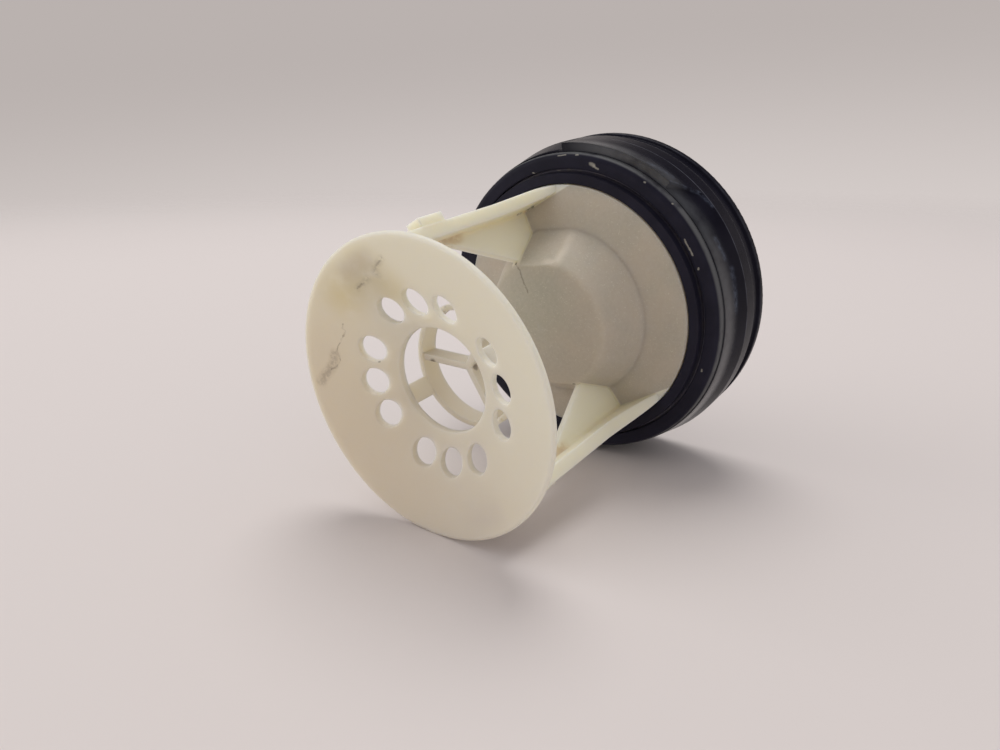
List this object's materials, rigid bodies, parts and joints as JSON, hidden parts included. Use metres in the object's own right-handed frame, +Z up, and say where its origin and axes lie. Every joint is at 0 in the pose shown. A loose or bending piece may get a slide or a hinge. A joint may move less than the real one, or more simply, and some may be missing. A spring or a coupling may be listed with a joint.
{
  "type": "washer pump filter",
  "caption": "Drain-pump filter for a washing machine: a perforated dish on legs, a domed hub, a rubber lip seal and a bayonet cap with a recessed grip bar at the back.",
  "frame": {"origin": "on the filter's axis, in the middle of the collar band that guides the cap in the pump's mouth", "axes": "+Y along the axis, out of the pump, so the dish faces -Y and the finger recess +Y; +Z up as pictured, along the grip bar; +X to the side the picture sees"},
  "size_m": [0.0674, 0.0682, 0.0675],
  "materials": {
    "natural_plastic": "matt, slightly translucent, stained",
    "seal_rubber": "smooth, half-gloss",
    "black_plastic": "half-gloss, scuffed"
  },
  "bodies": {
    "root": {"filter_insert": "natural_plastic", "lip_seal": "seal_rubber", "bayonet_cap": "black_plastic"}
  },
  "joints": []
}
